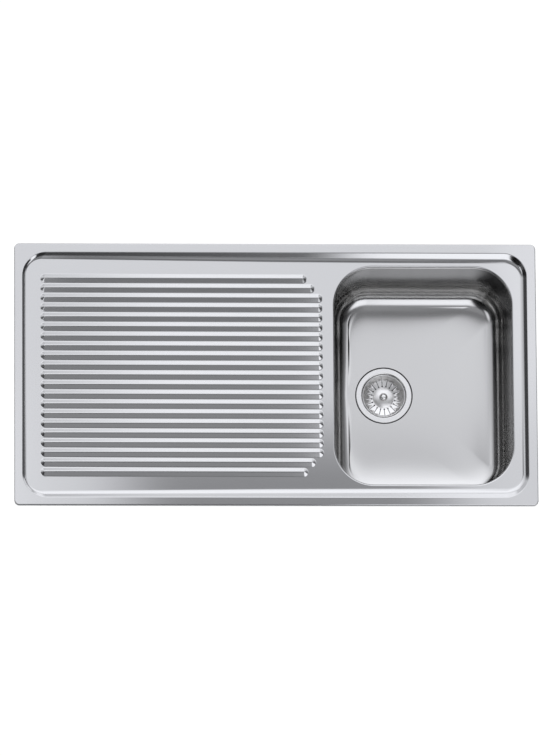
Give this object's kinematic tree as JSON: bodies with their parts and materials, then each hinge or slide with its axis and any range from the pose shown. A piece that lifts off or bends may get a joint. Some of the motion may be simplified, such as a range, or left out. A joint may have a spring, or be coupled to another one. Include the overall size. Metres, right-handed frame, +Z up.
{
  "type": "kitchen sink with drainboard",
  "caption": "Inset stainless steel kitchen sink with a deep rounded bowl, a ribbed sloping drainer beside it, a lift-out basket waste and swivelling worktop clamps.",
  "frame": {"origin": "centre of the sink's outline on the plane of the worktop's top face", "axes": "+X along the sink from the drainer to the bowl, +Y from the front edge to the back edge, +Z up"},
  "size_m": [1, 0.51, 0.2849],
  "materials": {
    "steel": "satin pressed stainless sheet",
    "polished": "polished stainless",
    "zinc": "zinc plated steel",
    "brass": "machined brass",
    "rubber": "matt black rubber",
    "damping": "dark damping sheet",
    "foam": "closed-cell foam strip",
    "plastic": "moulded polypropylene"
  },
  "bodies": {
    "sink": {"sink_deck": "steel", "sink_bowl": "steel", "bowl_pad": "damping", "rim_seal": "foam", "earth_tag": "zinc", "waste_flange": "polished", "flange_seal": "rubber", "body_seal": "rubber", "waste_body": "plastic", "body_insert": "brass", "centre_screw": "zinc", "clamp_lug_1": "zinc", "clamp_lug_2": "zinc", "clamp_lug_3": "zinc", "clamp_lug_4": "zinc", "clamp_lug_5": "zinc", "clamp_lug_6": "zinc", "clamp_lug_7": "zinc", "clamp_lug_8": "zinc"},
    "clip": {"basket_clip": "plastic"},
    "basket": {"basket": "polished", "basket_knob": "polished", "basket_seal": "rubber"},
    "clamp_1_carriage": {"clamp_washer_1": "zinc"},
    "clamp_1_screw": {"clamp_screw_1": "zinc"},
    "clamp_1_arm": {"clamp_arm_1": "zinc"},
    "clamp_2_carriage": {"clamp_washer_2": "zinc"},
    "clamp_2_screw": {"clamp_screw_2": "zinc"},
    "clamp_2_arm": {"clamp_arm_2": "zinc"},
    "clamp_3_carriage": {"clamp_washer_3": "zinc"},
    "clamp_3_screw": {"clamp_screw_3": "zinc"},
    "clamp_3_arm": {"clamp_arm_3": "zinc"},
    "clamp_4_carriage": {"clamp_washer_4": "zinc"},
    "clamp_4_screw": {"clamp_screw_4": "zinc"},
    "clamp_4_arm": {"clamp_arm_4": "zinc"},
    "clamp_5_carriage": {"clamp_washer_5": "zinc"},
    "clamp_5_screw": {"clamp_screw_5": "zinc"},
    "clamp_5_arm": {"clamp_arm_5": "zinc"},
    "clamp_6_carriage": {"clamp_washer_6": "zinc"},
    "clamp_6_screw": {"clamp_screw_6": "zinc"},
    "clamp_6_arm": {"clamp_arm_6": "zinc"},
    "clamp_7_carriage": {"clamp_washer_7": "zinc"},
    "clamp_7_screw": {"clamp_screw_7": "zinc"},
    "clamp_7_arm": {"clamp_arm_7": "zinc"},
    "clamp_8_carriage": {"clamp_washer_8": "zinc"},
    "clamp_8_screw": {"clamp_screw_8": "zinc"},
    "clamp_8_arm": {"clamp_arm_8": "zinc"}
  },
  "joints": [
    {"name": "basket_lift", "type": "slide", "parent": "sink", "child": "clip", "axis": [0, 0, 1], "range_m": [0, 0.25]},
    {"name": "basket_turn", "type": "hinge", "parent": "clip", "child": "basket", "pos_m": [0.218, -0.00105, -0.21559], "axis": [0, 0, 1], "continuous": true},
    {"name": "clamp_1_draw", "type": "slide", "parent": "sink", "child": "clamp_1_carriage", "axis": [0, 0, 1], "range_m": [0, 0.014]},
    {"name": "clamp_1_turn", "type": "hinge", "parent": "clamp_1_carriage", "child": "clamp_1_screw", "pos_m": [-0.38, -0.229, -0.057], "axis": [0, 0, 1], "range_deg": [0, 6300]},
    {"name": "clamp_1_swing", "type": "hinge", "parent": "clamp_1_carriage", "child": "clamp_1_arm", "pos_m": [-0.38, -0.229, -0.057], "axis": [0, 0, -1], "range_deg": [0, 90]},
    {"name": "clamp_2_draw", "type": "slide", "parent": "sink", "child": "clamp_2_carriage", "axis": [0, 0, 1], "range_m": [0, 0.014]},
    {"name": "clamp_2_turn", "type": "hinge", "parent": "clamp_2_carriage", "child": "clamp_2_screw", "pos_m": [-0.0485, -0.229, -0.057], "axis": [0, 0, 1], "range_deg": [0, 6300]},
    {"name": "clamp_2_swing", "type": "hinge", "parent": "clamp_2_carriage", "child": "clamp_2_arm", "pos_m": [-0.0485, -0.229, -0.057], "axis": [0, 0, -1], "range_deg": [0, 90]},
    {"name": "clamp_3_draw", "type": "slide", "parent": "sink", "child": "clamp_3_carriage", "axis": [0, 0, 1], "range_m": [0, 0.014]},
    {"name": "clamp_3_turn", "type": "hinge", "parent": "clamp_3_carriage", "child": "clamp_3_screw", "pos_m": [0.283, -0.229, -0.057], "axis": [0, 0, 1], "range_deg": [0, 6300]},
    {"name": "clamp_3_swing", "type": "hinge", "parent": "clamp_3_carriage", "child": "clamp_3_arm", "pos_m": [0.283, -0.229, -0.057], "axis": [0, 0, -1], "range_deg": [0, 90]},
    {"name": "clamp_4_draw", "type": "slide", "parent": "sink", "child": "clamp_4_carriage", "axis": [0, 0, 1], "range_m": [0, 0.014]},
    {"name": "clamp_4_turn", "type": "hinge", "parent": "clamp_4_carriage", "child": "clamp_4_screw", "pos_m": [0.474, 0, -0.057], "axis": [0, 0, 1], "range_deg": [0, 6300]},
    {"name": "clamp_4_swing", "type": "hinge", "parent": "clamp_4_carriage", "child": "clamp_4_arm", "pos_m": [0.474, 0, -0.057], "axis": [0, 0, -1], "range_deg": [0, 90]},
    {"name": "clamp_5_draw", "type": "slide", "parent": "sink", "child": "clamp_5_carriage", "axis": [0, 0, 1], "range_m": [0, 0.014]},
    {"name": "clamp_5_turn", "type": "hinge", "parent": "clamp_5_carriage", "child": "clamp_5_screw", "pos_m": [0.283, 0.229, -0.057], "axis": [0, 0, 1], "range_deg": [0, 6300]},
    {"name": "clamp_5_swing", "type": "hinge", "parent": "clamp_5_carriage", "child": "clamp_5_arm", "pos_m": [0.283, 0.229, -0.057], "axis": [0, 0, -1], "range_deg": [0, 90]},
    {"name": "clamp_6_draw", "type": "slide", "parent": "sink", "child": "clamp_6_carriage", "axis": [0, 0, 1], "range_m": [0, 0.014]},
    {"name": "clamp_6_turn", "type": "hinge", "parent": "clamp_6_carriage", "child": "clamp_6_screw", "pos_m": [-0.0485, 0.229, -0.057], "axis": [0, 0, 1], "range_deg": [0, 6300]},
    {"name": "clamp_6_swing", "type": "hinge", "parent": "clamp_6_carriage", "child": "clamp_6_arm", "pos_m": [-0.0485, 0.229, -0.057], "axis": [0, 0, -1], "range_deg": [0, 90]},
    {"name": "clamp_7_draw", "type": "slide", "parent": "sink", "child": "clamp_7_carriage", "axis": [0, 0, 1], "range_m": [0, 0.014]},
    {"name": "clamp_7_turn", "type": "hinge", "parent": "clamp_7_carriage", "child": "clamp_7_screw", "pos_m": [-0.38, 0.229, -0.057], "axis": [0, 0, 1], "range_deg": [0, 6300]},
    {"name": "clamp_7_swing", "type": "hinge", "parent": "clamp_7_carriage", "child": "clamp_7_arm", "pos_m": [-0.38, 0.229, -0.057], "axis": [0, 0, -1], "range_deg": [0, 90]},
    {"name": "clamp_8_draw", "type": "slide", "parent": "sink", "child": "clamp_8_carriage", "axis": [0, 0, 1], "range_m": [0, 0.014]},
    {"name": "clamp_8_turn", "type": "hinge", "parent": "clamp_8_carriage", "child": "clamp_8_screw", "pos_m": [-0.474, 0, -0.057], "axis": [0, 0, 1], "range_deg": [0, 6300]},
    {"name": "clamp_8_swing", "type": "hinge", "parent": "clamp_8_carriage", "child": "clamp_8_arm", "pos_m": [-0.474, 0, -0.057], "axis": [0, 0, -1], "range_deg": [0, 90]}
  ],
  "couplings": [
    {"joint": "clamp_1_turn", "follows": "clamp_1_draw", "rad_per_m": 7854},
    {"joint": "clamp_2_turn", "follows": "clamp_2_draw", "rad_per_m": 7854},
    {"joint": "clamp_3_turn", "follows": "clamp_3_draw", "rad_per_m": 7854},
    {"joint": "clamp_4_turn", "follows": "clamp_4_draw", "rad_per_m": 7854},
    {"joint": "clamp_5_turn", "follows": "clamp_5_draw", "rad_per_m": 7854},
    {"joint": "clamp_6_turn", "follows": "clamp_6_draw", "rad_per_m": 7854},
    {"joint": "clamp_7_turn", "follows": "clamp_7_draw", "rad_per_m": 7854},
    {"joint": "clamp_8_turn", "follows": "clamp_8_draw", "rad_per_m": 7854}
  ]
}
